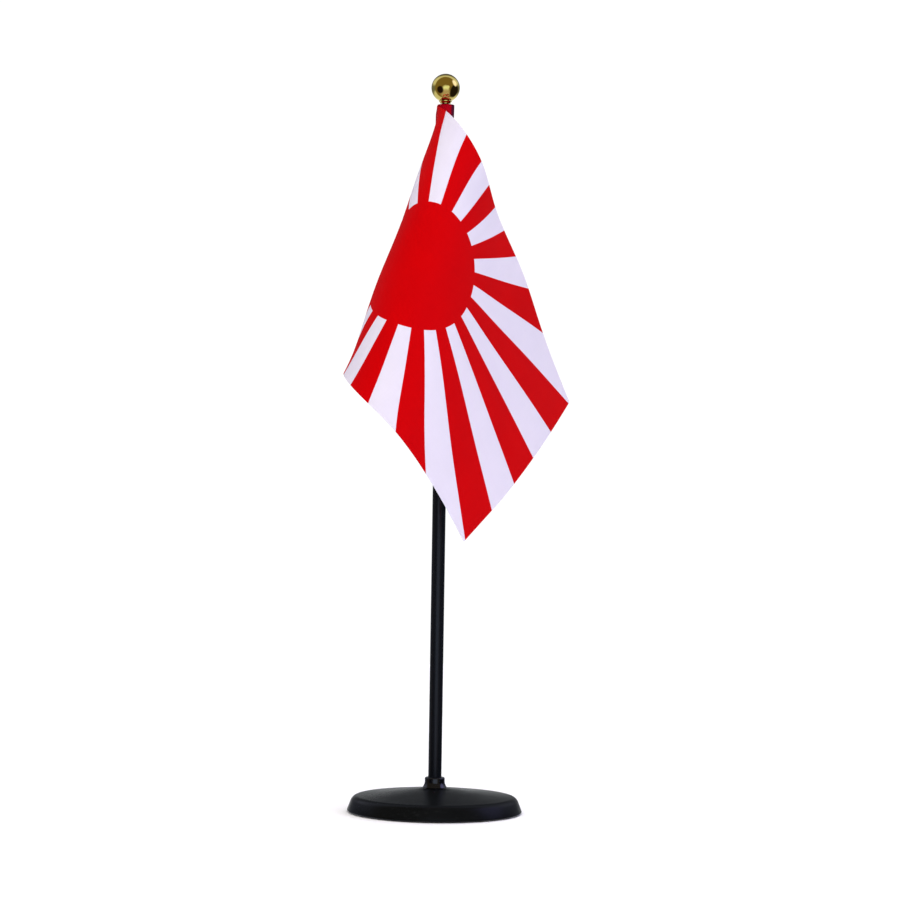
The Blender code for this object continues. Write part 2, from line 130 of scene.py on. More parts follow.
def room_share(value, start, end):
    """How far a value has gone from one number to another, eased at both ends."""
    spread = room_nodes.new("ShaderNodeMapRange")
    spread.interpolation_type = "SMOOTHSTEP"
    spread.inputs["From Min"].default_value = start
    spread.inputs["From Max"].default_value = end
    room_links.new(value, spread.inputs["Value"])
    return spread.outputs["Result"]


def room_blend(share, under, over):
    """One light of the room giving way to another by this share."""
    mix = room_nodes.new("ShaderNodeMix")
    mix.data_type = "RGBA"
    room_links.new(share, mix.inputs["Factor"])
    for socket, light in ((mix.inputs["A"], under), (mix.inputs["B"], over)):
        if isinstance(light, tuple):
            socket.default_value = (*light, 1.0)
        else:
            room_links.new(light, socket)
    return mix.outputs["Result"]


from_level = room_nodes.new("ShaderNodeMath")
from_level.operation = "ABSOLUTE"
room_links.new(split.outputs["Z"], from_level.inputs[0])
wall = room_blend(room_share(from_level.outputs["Value"], 0.12, 0.42), LOW_WALL_LIGHT, WALL_LIGHT)
seen = room_blend(room_share(split.outputs["Y"], 0.0, 0.20), ROOM_LIGHT, wall)
for aim, half_angle, softness, light in ROOM_PATCHES:
    towards = room_nodes.new("ShaderNodeVectorMath")
    towards.operation = "DOT_PRODUCT"
    towards.inputs[1].default_value = Vector(aim).normalized()
    room_links.new(direction, towards.inputs[0])
    outer = math.cos(math.radians(half_angle + softness))
    inner = math.cos(math.radians(half_angle - softness))
    seen = room_blend(room_share(towards.outputs["Value"], outer, inner), seen, light)
backdrop = room_blend(ray.outputs["Is Camera Ray"], seen, (1.05, 1.05, 1.05))
room_links.new(backdrop, background.inputs["Color"])


def new_finish(name, colour, roughness, metallic=0.0):
    """A material with its shader, and the place on the piece that its patterns are laid out on."""
    finish = bpy.data.materials.new(name)
    finish.use_nodes = True
    shader = finish.node_tree.nodes["Principled BSDF"]
    shader.inputs["Base Color"].default_value = (*colour, 1.0)
    shader.inputs["Roughness"].default_value = roughness
    shader.inputs["Metallic"].default_value = metallic
    place = finish.node_tree.nodes.new("ShaderNodeTexCoord").outputs["Object"]
    return finish, shader, place


def stretched(finish, place, scale, turn=(0.0, 0.0, 0.0)):
    """The place with its axes stretched, for grain and streaks that run one way."""
    mapping = finish.node_tree.nodes.new("ShaderNodeMapping")
    mapping.inputs["Scale"].default_value = scale
    mapping.inputs["Rotation"].default_value = turn
    finish.node_tree.links.new(place, mapping.inputs["Vector"])
    return mapping.outputs["Vector"]


def mottle(finish, place, scale, detail=3.0):
    """A cloudy pattern from 0 to 1, with this many clouds to the metre."""
    noise = finish.node_tree.nodes.new("ShaderNodeTexNoise")
    noise.inputs["Scale"].default_value = scale
    noise.inputs["Detail"].default_value = detail
    finish.node_tree.links.new(place, noise.inputs["Vector"])
    return noise.outputs["Fac"]


def ranged(finish, value, low, high, new_low, new_high):
    """The value spread from its own range to a new one, and held inside it."""
    spread = finish.node_tree.nodes.new("ShaderNodeMapRange")
    ends = {"From Min": low, "From Max": high, "To Min": new_low, "To Max": new_high}
    for socket, number in ends.items():
        spread.inputs[socket].default_value = number
    finish.node_tree.links.new(value, spread.inputs["Value"])
    return spread.outputs["Result"]


def blend_colours(finish, amount, first, second):
    """One colour turning into another. A colour is three numbers or comes from another pattern."""
    mix = finish.node_tree.nodes.new("ShaderNodeMix")
    mix.data_type = "RGBA"
    finish.node_tree.links.new(amount, mix.inputs["Factor"])
    for socket, colour in zip((mix.inputs["A"], mix.inputs["B"]), (first, second)):
        if isinstance(colour, tuple):
            socket.default_value = (*colour, 1.0)
        else:
            finish.node_tree.links.new(colour, socket)
    return mix.outputs["Result"]


def colour(finish, shader, pattern):
    finish.node_tree.links.new(pattern, shader.inputs["Base Color"])


def gloss(finish, shader, pattern):
    """Lets a pattern set how rough the surface is."""
    finish.node_tree.links.new(pattern, shader.inputs["Roughness"])


def relief(finish, shader, height, depth, under=None):
    """Raises and sinks the surface by a pattern, on top of any relief under it."""
    bump = finish.node_tree.nodes.new("ShaderNodeBump")
    bump.inputs["Distance"].default_value = depth
    bump.inputs["Strength"].default_value = 1.0
    finish.node_tree.links.new(height, bump.inputs["Height"])
    if under is not None:
        finish.node_tree.links.new(under, bump.inputs["Normal"])
    finish.node_tree.links.new(bump.outputs["Normal"], shader.inputs["Normal"])
    return bump.outputs["Normal"]


def dress(node, finish):
    """Gives a CAD node's slots this finish."""
    for own in nodes[node].material_slots:
        own.material = finish


foam, shader, place = new_finish("foam_black", (0.020, 0.020, 0.021), 0.9)
cells = mottle(foam, place, 1900.0, 2.0)
tone = mottle(foam, place, 60.0)
colour(foam, shader, blend_colours(foam, tone, (0.014, 0.014, 0.015), (0.030, 0.030, 0.031)))
relief(foam, shader, cells, 0.00012)
dress("base_pad", foam)

# ---------------------------------------------------------------------------------------------
# Closing plate: a flat black plastic disc with three counterbored holes, injection moulded, that
# shuts the weight into the cover. Its face has a spark-eroded grain and faint flow lines.
plate_plastic, shader, place = new_finish("plate_plastic", (0.020, 0.020, 0.021), 0.5)
shader.inputs["Specular IOR Level"].default_value = 0.4
flow_lines = mottle(plate_plastic, stretched(plate_plastic, place, (30.0, 260.0, 30.0)), 1.0, 4.0)
streaked = blend_colours(plate_plastic, flow_lines, (0.014, 0.014, 0.015), (0.028, 0.028, 0.029))
colour(plate_plastic, shader, streaked)
gloss(plate_plastic, shader, ranged(plate_plastic, flow_lines, 0.3, 0.7, 0.42, 0.58))
relief(plate_plastic, shader, mottle(plate_plastic, place, 2600.0, 2.0), 0.00003)
dress("base_plate", plate_plastic)

# ---------------------------------------------------------------------------------------------
# Weight: a thick zinc plated steel ring that keeps the stand from tipping. It is faced on a lathe
# before plating, so that fine rings show round its middle, and the zinc is a little cloudy.
def from_axis(finish, place):
    """How far a place lies from the stand's upright axis."""
    across = finish.node_tree.nodes.new("ShaderNodeVectorMath")
    across.operation = "LENGTH"
    finish.node_tree.links.new(stretched(finish, place, (1.0, 1.0, 0.0)), across.inputs[0])
    return across.outputs["Value"]


plated_steel, shader, place = new_finish("plated_steel", (0.36, 0.36, 0.36), 0.34, 1.0)
lathe_marks = plated_steel.node_tree.nodes.new("ShaderNodeTexNoise")
lathe_marks.noise_dimensions = "1D"
lathe_marks.inputs["Scale"].default_value = 5200.0
plated_steel.node_tree.links.new(from_axis(plated_steel, place), lathe_marks.inputs["W"])
cloudy = mottle(plated_steel, place, 55.0, 5.0)
colour(plated_steel, shader, blend_colours(plated_steel, cloudy, (0.34, 0.35, 0.36), (0.54, 0.54, 0.52)))
gloss(plated_steel, shader, ranged(plated_steel, cloudy, 0.35, 0.65, 0.26, 0.44))
relief(plated_steel, shader, lathe_marks.outputs["Fac"], 0.00002)
dress("base_weight", plated_steel)

# ---------------------------------------------------------------------------------------------
# Cover: the wide shallow dome that shows, injection moulded in black plastic with a fine satin
# grain. Its shoulder and rim are rubbed a little brighter where hands lift it.
SMOOTH_SIDES = 144
SAME_PLACE = 0.00002
SHANK_HOLE = 0.0057
SEAT_RADIUS = 0.0078
SEAT_HEIGHT = 0.0144
COVER_WALL = 0.0022
DOME_START = (0.0100, 0.0139)
DOME_REACH = 0.0358
DOME_FALL = 0.0042
DOME_CURVE = 1.12
SHOULDER_CENTRE = (0.0458, 0.0051)
SHOULDER_RADIUS = 0.0046
RIM_CENTRE = (0.0516, 0.0012)
RIM_ROUNDING = 0.0006
RIM_INSIDE = 0.0483
WELL_RADIUS = 0.0467
LEDGE_HEIGHT = 0.0036
CEILING_EDGE = 0.0063
SCREW_CIRCLE = 0.032
BOSS_RADIUS = 0.0032
BOSS_LENGTH = 0.0066
BOSS_MIDDLE = 0.0069
BOSS_WALL = 0.0016
BOSS_BORE = 0.0052


def arc_places(centre, radius, start, end, steps):
    """(radius, height) places along a rounding, with angles in degrees from level."""
    turns = [math.radians(start + (end - start) * step / steps) for step in range(steps + 1)]
    return [(centre[0] + radius * math.cos(turn), centre[1] + radius * math.sin(turn)) for turn in turns]


def take_up(piece):
    """Selects one piece and no other."""
    let_go()
    piece.select_set(True)
    bpy.context.view_layer.objects.active = piece


def work_on(piece):
    """Takes up a piece with none of its points, edges or faces selected."""
    take_up(piece)
    bpy.ops.object.mode_set(mode="EDIT")
    bpy.ops.mesh.select_mode(type="EDGE")
    bpy.ops.mesh.select_all(action="DESELECT")
    bpy.ops.object.mode_set(mode="OBJECT")


def on_ring(point, radius, height):
    off_radius = abs(math.hypot(point.x, point.y) - radius)
    return off_radius < SAME_PLACE and abs(point.z - height) < SAME_PLACE


def pick_rings(piece, places):
    """Selects the rings that lie at these (radius, height) places, and goes to edit mode."""
    work_on(piece)
    for line in piece.data.edges:
        ends = [piece.data.vertices[number].co for number in line.vertices]
        line.select = any(all(on_ring(end, *place) for end in ends) for place in places)
    bpy.ops.object.mode_set(mode="EDIT")


def round_rings(piece, places, amount, segments=3):
    """Rounds off the edges that run round the piece at these (radius, height) places."""
    pick_rings(piece, places)
    bpy.ops.mesh.bevel(offset=amount, segments=segments, affect="EDGES")
    bpy.ops.object.mode_set(mode="OBJECT")


def polish(piece, finish, angle=35.0):
    """Faces outwards, smooth shading and a finish."""
    work_on(piece)
    bpy.ops.object.mode_set(mode="EDIT")
    bpy.ops.mesh.select_all(action="SELECT")
    bpy.ops.mesh.normals_make_consistent(inside=False)
    bpy.ops.object.mode_set(mode="OBJECT")
    bpy.ops.object.shade_smooth_by_angle(angle=math.radians(angle))
    piece.data.materials.clear()
    piece.data.materials.append(finish)


def turned_piece(name, profile, sides=SMOOTH_SIDES, hollow=True):
    """A ring drawn through each (radius, height) place. A hollow piece ends back at its first ring,
    and a solid one is capped at both ends."""
    let_go()
    radius, height = profile[0]
    bpy.ops.mesh.primitive_circle_add(vertices=sides, radius=radius, location=(0.0, 0.0, height))
    bpy.ops.object.transform_apply(location=True, rotation=True, scale=True)
    piece = bpy.context.object
    piece.name = name
    piece.data.name = name
    bpy.ops.object.mode_set(mode="EDIT")
    bpy.ops.mesh.select_all(action="SELECT")
    for next_radius, next_height in profile[1:] + profile[: 1 if hollow else 0]:
        rise = (0.0, 0.0, next_height - height)
        wider = next_radius / radius
        bpy.ops.mesh.extrude_region_move(TRANSFORM_OT_translate={"value": rise})
        bpy.ops.transform.resize(value=(wider, wider, 1.0), center_override=(0.0, 0.0, next_height))
        radius, height = next_radius, next_height
    bpy.ops.mesh.select_all(action="SELECT")
    bpy.ops.mesh.remove_doubles(threshold=0.000002)
    bpy.ops.object.mode_set(mode="OBJECT")
    if not hollow:
        for end in (profile[0], profile[-1]):
            pick_rings(piece, (end,))
            bpy.ops.mesh.edge_face_add()
            bpy.ops.object.mode_set(mode="OBJECT")
    return piece


def worked(finish, operation, first, second=None):
    """A sum worked out over the surface from patterns or numbers."""
    step = finish.node_tree.nodes.new("ShaderNodeMath")
    step.operation = operation
    for socket, value in zip(step.inputs, (first, second)):
        if isinstance(value, (int, float)):
            socket.default_value = value
        elif value is not None:
            finish.node_tree.links.new(value, socket)
    return step.outputs["Value"]


def dome_places(lift, steps):
    """The dome from its seat to its shoulder, moved up by lift."""
    places = []
    for step in range(steps + 1):
        share = step / steps
        height = DOME_START[1] - DOME_FALL * share**DOME_CURVE + lift
        places.append((DOME_START[0] + DOME_REACH * share, height))
    return places


rim_bottom = RIM_CENTRE[1] - RIM_ROUNDING
cover_profile = [(SHANK_HOLE, SEAT_HEIGHT), (SEAT_RADIUS, SEAT_HEIGHT)]
cover_profile += dome_places(0.0, 12)
cover_profile += arc_places(SHOULDER_CENTRE, SHOULDER_RADIUS, 78.0, 18.0, 10)
cover_profile += arc_places(RIM_CENTRE, RIM_ROUNDING, 10.0, -90.0, 6)
cover_profile += [(RIM_INSIDE, rim_bottom), (RIM_INSIDE, LEDGE_HEIGHT)]
cover_profile += [(WELL_RADIUS, LEDGE_HEIGHT), (WELL_RADIUS, CEILING_EDGE)]
cover_profile += list(reversed(dome_places(-COVER_WALL, 6)))
cover_profile += [(SEAT_RADIUS, SEAT_HEIGHT - COVER_WALL), (SHANK_HOLE, SEAT_HEIGHT - COVER_WALL)]
cover = turned_piece("cover_moulding", cover_profile)
round_rings(cover, [(SHANK_HOLE, SEAT_HEIGHT)], 0.0002, 2)

let_go()
bpy.ops.mesh.primitive_cylinder_add(
    vertices=40, radius=BOSS_RADIUS, depth=BOSS_LENGTH, location=(0.0, SCREW_CIRCLE, BOSS_MIDDLE)
)
boss = bpy.context.object
boss.name = "screw_boss"
bpy.ops.object.transform_apply(location=True, rotation=True, scale=True)
work_on(boss)
for face in boss.data.polygons:
    face.select = face.normal.z < -0.9
bpy.ops.object.mode_set(mode="EDIT")
bpy.ops.mesh.select_mode(type="FACE")
bpy.ops.mesh.inset(thickness=BOSS_WALL)
bpy.ops.mesh.extrude_region_move(TRANSFORM_OT_translate={"value": (0.0, 0.0, BOSS_BORE)})
bpy.ops.object.mode_set(mode="OBJECT")
bosses = [boss]
for turn in (120.0, 240.0):
    take_up(boss)
    bpy.ops.object.duplicate()
    copy = bpy.context.object
    copy.rotation_euler.z = math.radians(turn)
    bpy.ops.object.transform_apply(location=True, rotation=True, scale=True)
    bosses.append(copy)
let_go()
for piece in bosses + [cover]:
    piece.select_set(True)
bpy.context.view_layer.objects.active = cover
bpy.ops.object.join()

satin, shader, place = new_finish("cover_plastic", (0.004, 0.0045, 0.005), 0.30)
shader.inputs["Specular IOR Level"].default_value = 0.11
grain = mottle(satin, place, 2300.0, 2.0)
haze = mottle(satin, place, 34.0, 5.0)
scuffs = mottle(satin, stretched(satin, place, (150.0, 1400.0, 900.0), (0.0, 0.0, 0.6)), 1.0, 6.0)
handled = ranged(satin, from_axis(satin, place), 0.0462, 0.0510, 0.0, 1.0)
rubbed = worked(satin, "MULTIPLY", handled, ranged(satin, scuffs, 0.60, 0.72, 0.0, 0.55))
ground = blend_colours(satin, haze, (0.0024, 0.0030, 0.0036), (0.0042, 0.0049, 0.0054))
colour(satin, shader, blend_colours(satin, rubbed, ground, (0.013, 0.014, 0.015)))
gloss(satin, shader, ranged(satin, haze, 0.3, 0.7, 0.25, 0.36))
relief(satin, shader, grain, 0.000022)
polish(cover, satin)
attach(cover, "base")
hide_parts("base_cover")

# ---------------------------------------------------------------------------------------------
# Screws, washer and nut: turned and pressed steel, zinc plated with a faint yellow passivation.
# Three pan-head screws hold the plate to the cover, and the washer and nut clamp the socket.
zinc, shader, place = new_finish("zinc_plate", (0.62, 0.62, 0.60), 0.28, 1.0)
passivation = mottle(zinc, place, 420.0, 3.0)
colour(zinc, shader, blend_colours(zinc, passivation, (0.50, 0.51, 0.50), (0.70, 0.68, 0.60)))
gloss(zinc, shader, ranged(zinc, passivation, 0.3, 0.7, 0.20, 0.38))
relief(zinc, shader, mottle(zinc, place, 3200.0, 2.0), 0.00001)
for number in (1, 2, 3):
    dress(f"base_screw_{number}", zinc)
dress("socket_washer", zinc)
dress("socket_nut", zinc)

# ---------------------------------------------------------------------------------------------
# Pole socket: a gloss black moulded collar with a rounded lip and a hollow flare, on a threaded
# shank that goes down through the cover and the weight. The pole pushes into its bore.
MIDDLE_RING = 0.0002
SOCKET_BORE = 0.0041
SOCKET_FLOOR = 0.0054
SOCKET_BOTTOM = 0.0040
COLLAR_TOP = 0.0210
COLLAR_EDGE = 0.0003
COLLAR_RADIUS = 0.0060
COLLAR_ROUNDING = 0.0009
COLLAR_FOOT = 0.0147
FLARE_HEIGHT = 0.0032
FLARE_WIDTH = 0.0012
FLARE_CURVE = 1.7
FLARE_STEPS = 8
SHANK_RADIUS = 0.0054
THREAD_DEPTH = 0.0003
THREAD_TOP = 0.0122
THREAD_END = 0.0046
THREAD_STEP = 0.0008

socket_profile = [(MIDDLE_RING, SOCKET_FLOOR), (SOCKET_BORE, SOCKET_FLOOR)]
socket_profile += [(SOCKET_BORE, COLLAR_TOP - COLLAR_EDGE), (SOCKET_BORE + COLLAR_EDGE, COLLAR_TOP)]
lip_centre = (COLLAR_RADIUS - COLLAR_ROUNDING, COLLAR_TOP - COLLAR_ROUNDING)
socket_profile += arc_places(lip_centre, COLLAR_ROUNDING, 90.0, 0.0, 7)
for step in range(FLARE_STEPS + 1):
    share = step / FLARE_STEPS
    radius = COLLAR_RADIUS + FLARE_WIDTH * share**FLARE_CURVE
    socket_profile.append((radius, COLLAR_FOOT + COLLAR_EDGE + FLARE_HEIGHT * (1.0 - share)))
socket_profile += [(COLLAR_RADIUS + 0.0010, COLLAR_FOOT), (SHANK_RADIUS, COLLAR_FOOT)]
socket_profile.append((SHANK_RADIUS, THREAD_TOP + 0.0002))
thread_height = THREAD_TOP
while thread_height > THREAD_END:
    socket_profile.append((SHANK_RADIUS, thread_height))
    socket_profile.append((SHANK_RADIUS - THREAD_DEPTH, thread_height - THREAD_STEP / 2))
    thread_height -= THREAD_STEP
socket_profile += [(SHANK_RADIUS - 0.0002, SOCKET_BOTTOM), (MIDDLE_RING, SOCKET_BOTTOM)]
socket = turned_piece("collar_moulding", socket_profile, hollow=False)

glossy, shader, place = new_finish("collar_plastic", (0.004, 0.0045, 0.006), 0.16)
shader.inputs["Specular IOR Level"].default_value = 0.5
wipe = mottle(glossy, stretched(glossy, place, (500.0, 500.0, 90.0)), 1.0, 4.0)
colour(glossy, shader, blend_colours(glossy, wipe, (0.0024, 0.0030, 0.0045), (0.0044, 0.0052, 0.0072)))
gloss(glossy, shader, ranged(glossy, wipe, 0.3, 0.7, 0.12, 0.22))
relief(glossy, shader, mottle(glossy, place, 900.0, 2.0), 0.00001)
polish(socket, glossy)
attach(socket, "base")
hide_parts("pole_socket")

# ---------------------------------------------------------------------------------------------
# Pole: a thin-walled steel tube with a smooth black stoved coat, drawn straight, with faint
# lengthwise marks under the paint. A plastic plug closes its foot and a brass insert its top.
POLE_RADIUS = 0.0040
POLE_WALL = 0.0006
POLE_FOOT = 0.0067
POLE_TOP = 0.4212
SLIM_SIDES = 96

tube_profile = [(POLE_RADIUS - POLE_WALL, POLE_FOOT), (POLE_RADIUS, POLE_FOOT)]
tube_profile += [(POLE_RADIUS, height) for height in (0.11, 0.21, 0.31)]
tube_profile += [(POLE_RADIUS, POLE_TOP), (POLE_RADIUS - POLE_WALL, POLE_TOP)]
tube = turned_piece("pole_shaft", tube_profile, SLIM_SIDES)
round_rings(tube, [(POLE_RADIUS, POLE_FOOT), (POLE_RADIUS, POLE_TOP)], 0.0002)
stoved, shader, place = new_finish("stoved_black", (0.004, 0.0045, 0.006), 0.24)
shader.inputs["Specular IOR Level"].default_value = 0.24
drawn = mottle(stoved, stretched(stoved, place, (2600.0, 2600.0, 22.0)), 1.0, 3.0)
flow = mottle(stoved, place, 620.0, 1.0)
colour(stoved, shader, blend_colours(stoved, drawn, (0.0032, 0.0040, 0.0062), (0.0056, 0.0066, 0.0092)))
gloss(stoved, shader, ranged(stoved, drawn, 0.3, 0.7, 0.20, 0.30))
under_coat = relief(stoved, shader, drawn, 0.000006)
relief(stoved, shader, flow, 0.000010, under_coat)
polish(tube, stoved)
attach(tube, "pole")
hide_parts("pole_tube")
dress("pole_foot_plug", glossy)

brass, shader, place = new_finish("turned_brass", (0.78, 0.58, 0.26), 0.25, 1.0)
tarnish = mottle(brass, place, 260.0, 4.0)
colour(brass, shader, blend_colours(brass, tarnish, (0.60, 0.43, 0.18), (0.86, 0.66, 0.32)))
gloss(brass, shader, ranged(brass, tarnish, 0.3, 0.7, 0.18, 0.34))
dress("pole_top_insert", brass)

# ---------------------------------------------------------------------------------------------
# Sleeve: the flag's hoist hem, bound in red woven tape, with painted shade in deep maroon down its
# right side. It is folded round the pole and drawn to a lip at the left, where it is sewn, and its
# top is tucked round the stud.
FLAG_HEIGHT = 0.160
SLEEVE_TOP = 0.4231
LIP = -0.0058
SLEEVE_ROWS = 80
TOP_ROWS = 9
TOP_FOLD = 0.0011
SLEEVE_SIDES = 72
SLEEVE_RADIUS = 0.00465
STUD_HOLE = 0.00235
TUCK_DEPTH = 0.0002

let_go()
bpy.ops.mesh.primitive_grid_add(
    x_subdivisions=SLEEVE_SIDES, y_subdivisions=SLEEVE_ROWS, size=1.0, calc_uvs=True
)
sleeve = bpy.context.object
sleeve.name = "sleeve_tape"
sleeve.data.name = "sleeve_tape"
for point in sleeve.data.vertices:
    turn = 2.0 * math.pi * (point.co.x + 0.5)
    row = (0.5 - point.co.y) * SLEEVE_ROWS
    straight = max(0.0, row - TOP_ROWS) / (SLEEVE_ROWS - TOP_ROWS)
    drop = TOP_FOLD + (FLAG_HEIGHT - TOP_FOLD) * straight
    slack = 0.00012 * math.sin(3.0 * turn + 90.0 * drop)
    slack += 0.00009 * math.sin(2.0 * turn - 210.0 * drop + 1.0)
    round_part = SLEEVE_RADIUS + slack * min(1.0, drop / 0.02)
    lip = min(1.0, 0.80 + drop / 0.030) * -LIP
    meets_lip = math.acos(min(1.0, round_part / lip))
    from_lip = min(turn, 2.0 * math.pi - turn)
    reach = round_part / math.cos(max(0.0, meets_lip - from_lip))
    reach += 0.0008 * (0.5 - 0.5 * math.cos(turn)) ** 2 * max(0.0, 1.0 - drop / 0.045)
    height = SLEEVE_TOP - drop
    if row < TOP_ROWS:
        tucked = 0.5 * math.pi * (1.0 - row / TOP_ROWS)
        reach = STUD_HOLE + (reach - STUD_HOLE) * max(0.0, math.cos(tucked)) ** 0.5
        reach += 0.00010 * math.sin(tucked) * math.sin(9.0 * turn)
        height = SLEEVE_TOP - TUCK_DEPTH - (TOP_FOLD - TUCK_DEPTH) * (1.0 - math.sin(tucked) ** 0.5)
    point.co = (-reach * math.cos(turn), -reach * math.sin(turn), height)
work_on(sleeve)
bpy.ops.object.mode_set(mode="EDIT")
bpy.ops.mesh.select_all(action="SELECT")
bpy.ops.mesh.remove_doubles(threshold=0.00001)
bpy.ops.object.mode_set(mode="OBJECT")


def woven(name, pattern_scale, roughness):
    """Fine plain-weave cloth. Its place is in metres across and down the cut piece."""
    finish = bpy.data.materials.new(name)
    finish.use_nodes = True
    tree = finish.node_tree
    shader = tree.nodes["Principled BSDF"]
    shader.inputs["Roughness"].default_value = roughness
    shader.inputs["Specular IOR Level"].default_value = 0.03
    shader.inputs["Sheen Weight"].default_value = 0.012
    shader.inputs["Sheen Roughness"].default_value = 0.4
    layout = tree.nodes.new("ShaderNodeUVMap")
    layout.uv_map = "cut"
    place = stretched(finish, layout.outputs["UV"], pattern_scale)
    return finish, shader, place


def weave(finish, shader, place, pitch, depth):
    """Threads that pass over and under each other, this far apart, a little uneven along their length."""
    axes = finish.node_tree.nodes.new("ShaderNodeSeparateXYZ")
    finish.node_tree.links.new(place, axes.inputs[0])
    turns = math.pi / pitch
    warp = worked(finish, "SINE", worked(finish, "MULTIPLY", axes.outputs["X"], turns))
    weft = worked(finish, "SINE", worked(finish, "MULTIPLY", axes.outputs["Y"], turns))
    crossing = worked(finish, "MULTIPLY", warp, weft)
    relief(finish, shader, crossing, depth)
    long_slubs = mottle(finish, stretched(finish, place, (60.0, 3600.0, 1.0)), 1.0, 2.0)
    cross_slubs = mottle(finish, stretched(finish, place, (3600.0, 60.0, 1.0)), 1.0, 2.0)
    both = worked(finish, "ADD", long_slubs, cross_slubs)
    return worked(finish, "MULTIPLY", both, 0.5)


def give_wall(sheet, thickness, offset, edges="ALL", back=0, rim=0):
    """Softens a flat sheet and gives it a wall. The back and the rim take later material slots."""
    soft = sheet.modifiers.new("soften", "SUBSURF")
    soft.levels = 1
    soft.render_levels = 1
    soft.boundary_smooth = edges
    wall = sheet.modifiers.new("wall", "SOLIDIFY")
    wall.thickness = thickness
    wall.offset = offset
    wall.material_offset = back
    wall.material_offset_rim = rim
    for step in ("soften", "wall"):
        bpy.ops.object.modifier_apply(modifier=step)


sleeve.data.uv_layers[0].name = "cut"
tape, shader, place = woven("sleeve_tape", (0.030, FLAG_HEIGHT, 1.0), 0.68)
slubs = ranged(tape, weave(tape, shader, place, 0.00036, 0.00005), 0.38, 0.62, 0.0, 1.0)
bright_tape = blend_colours(tape, slubs, (0.330, 0.0004, 0.0070), (0.410, 0.0008, 0.0100))
# Painted shade: a deep maroon copy of the tape's red, standing in for the shade on the sleeve's right
# side.
painted_shade_tape = blend_colours(tape, slubs, (0.060, 0.0030, 0.0160), (0.090, 0.0050, 0.0230))
stood = tape.node_tree.nodes.new("ShaderNodeTexCoord").outputs["Object"]
sides = tape.node_tree.nodes.new("ShaderNodeSeparateXYZ")
tape.node_tree.links.new(stood, sides.inputs[0])
# Painted shade mask: the sleeve's right side, past x = 3.3 mm, takes the maroon shaded copy.
painted_shade_side = ranged(tape, sides.outputs["X"], 0.0033, 0.0038, 0.0, 1.0)
colour(tape, shader, blend_colours(tape, painted_shade_side, bright_tape, painted_shade_tape))
polish(sleeve, tape)
give_wall(sleeve, 0.0003, -1.0)
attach(sleeve, "flag")
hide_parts("flag_sleeve")

# ---------------------------------------------------------------------------------------------
# Flag: a 160 by 240 mm piece of white polyester cut with a hot blade, so that its edges are sealed
# and need no hem. A red disc and sixteen red rays are dyed through it. Its first 14 mm are inside
# the sleeve, and the rest hangs from the seam in a soft roll across the front of the pole.
FLAG_FLY = 0.240
SLEEVE_SHARE = 0.014
COLUMNS = 100
ROWS = 70

# Where the hung cloth passes, as (right, back, down) from the sleeve's top in flag heights: four
# rows from its top edge to its bottom edge, each going from the seam to the free edge.
HUNG = (
    (
        (-0.031, 0.0, 0.008),
        (0.0, -0.16, 0.03),
        (0.15, -0.18, 0.23),
        (0.19, -0.03, 0.40),
        (0.31, 0.06, 0.62),
        (0.38, 0.22, 0.84),
        (0.50, 0.35, 1.11),
    ),
    (
        (-0.035, 0.0, 0.3333),
        (-0.22, -0.08, 0.29),
        (-0.08, -0.47, 0.38),
        (0.13, -0.31, 0.59),
        (0.15, -0.17, 0.80),
        (0.27, -0.04, 1.03),
        (0.38, 0.08, 1.27),
    ),
    (
        (-0.035, 0.0, 0.6667),
        (-0.10, -0.08, 0.69),
        (-0.35, -0.23, 0.65),
        (-0.16, -0.59, 0.75),
        (0.04, -0.44, 0.99),
        (0.13, -0.28, 1.20),
        (0.25, -0.16, 1.46),
    ),
    (
        (-0.035, 0.0, 1.0),
        (-0.09, -0.13, 1.01),
        (-0.31, -0.18, 1.01),
        (-0.38, -0.44, 1.00),
        (-0.21, -0.63, 1.17),
        (-0.04, -0.50, 1.37),
        (0.09, -0.41, 1.61),
    ),
)


def pull(count, steps):
    """How much each of count places pulls on a smooth curve that starts at the first and ends at the
    last, at these steps along it. One step is one place."""
    pulls = np.zeros((len(steps), count))
    for row, step in enumerate(steps):
        start = min(int(step), count - 2)
        part = step - start
        weights = (
            (1 - part) ** 3 / 6,
            (3 * part**3 - 6 * part**2 + 4) / 6,
            (-3 * part**3 + 3 * part**2 + 3 * part + 1) / 6,
            part**3 / 6,
        )
        for offset, weight in zip((-1, 0, 1, 2), weights):
            place = start + offset
            if place < 0:
                pulls[row, 0] += 2 * weight
                pulls[row, 1] -= weight
            elif place >= count:
                pulls[row, count - 1] += 2 * weight
                pulls[row, count - 2] -= weight
            else:
                pulls[row, place] += weight
    return pulls


from_hoist = np.linspace(SLEEVE_SHARE, FLAG_FLY, COLUMNS + 1)
from_top = np.linspace(0.0, FLAG_HEIGHT, ROWS + 1)
along_fly = 6.0 * ((from_hoist - SLEEVE_SHARE) / (FLAG_FLY - SLEEVE_SHARE)) ** (1 / 1.3)
down_hoist = 3.0 * from_top / FLAG_HEIGHT
hung = np.einsum("ri,ijk,cj->rck", pull(4, down_hoist), np.array(HUNG), pull(7, along_fly))
hung = hung * FLAG_HEIGHT * (1.0, 1.0, -1.0) + (0.0, 0.0, SLEEVE_TOP)

# The cloth can bend but can't stretch, so it settles from there until every thread has its cut
# length again, hanging from the seam and lying clear of the sleeve and the pole.
SETTLING = 260
across_step = (FLAG_FLY - SLEEVE_SHARE) / COLUMNS
down_step = FLAG_HEIGHT / ROWS


def ease(first, second, length, share):
    """Moves two sets of points towards being this far apart."""
    gap = second - first
    apart = np.maximum(np.linalg.norm(gap, axis=-1, keepdims=True), 1e-9)
    push = gap * (0.5 * share * (apart - length) / apart)
    first += push
    second -= push


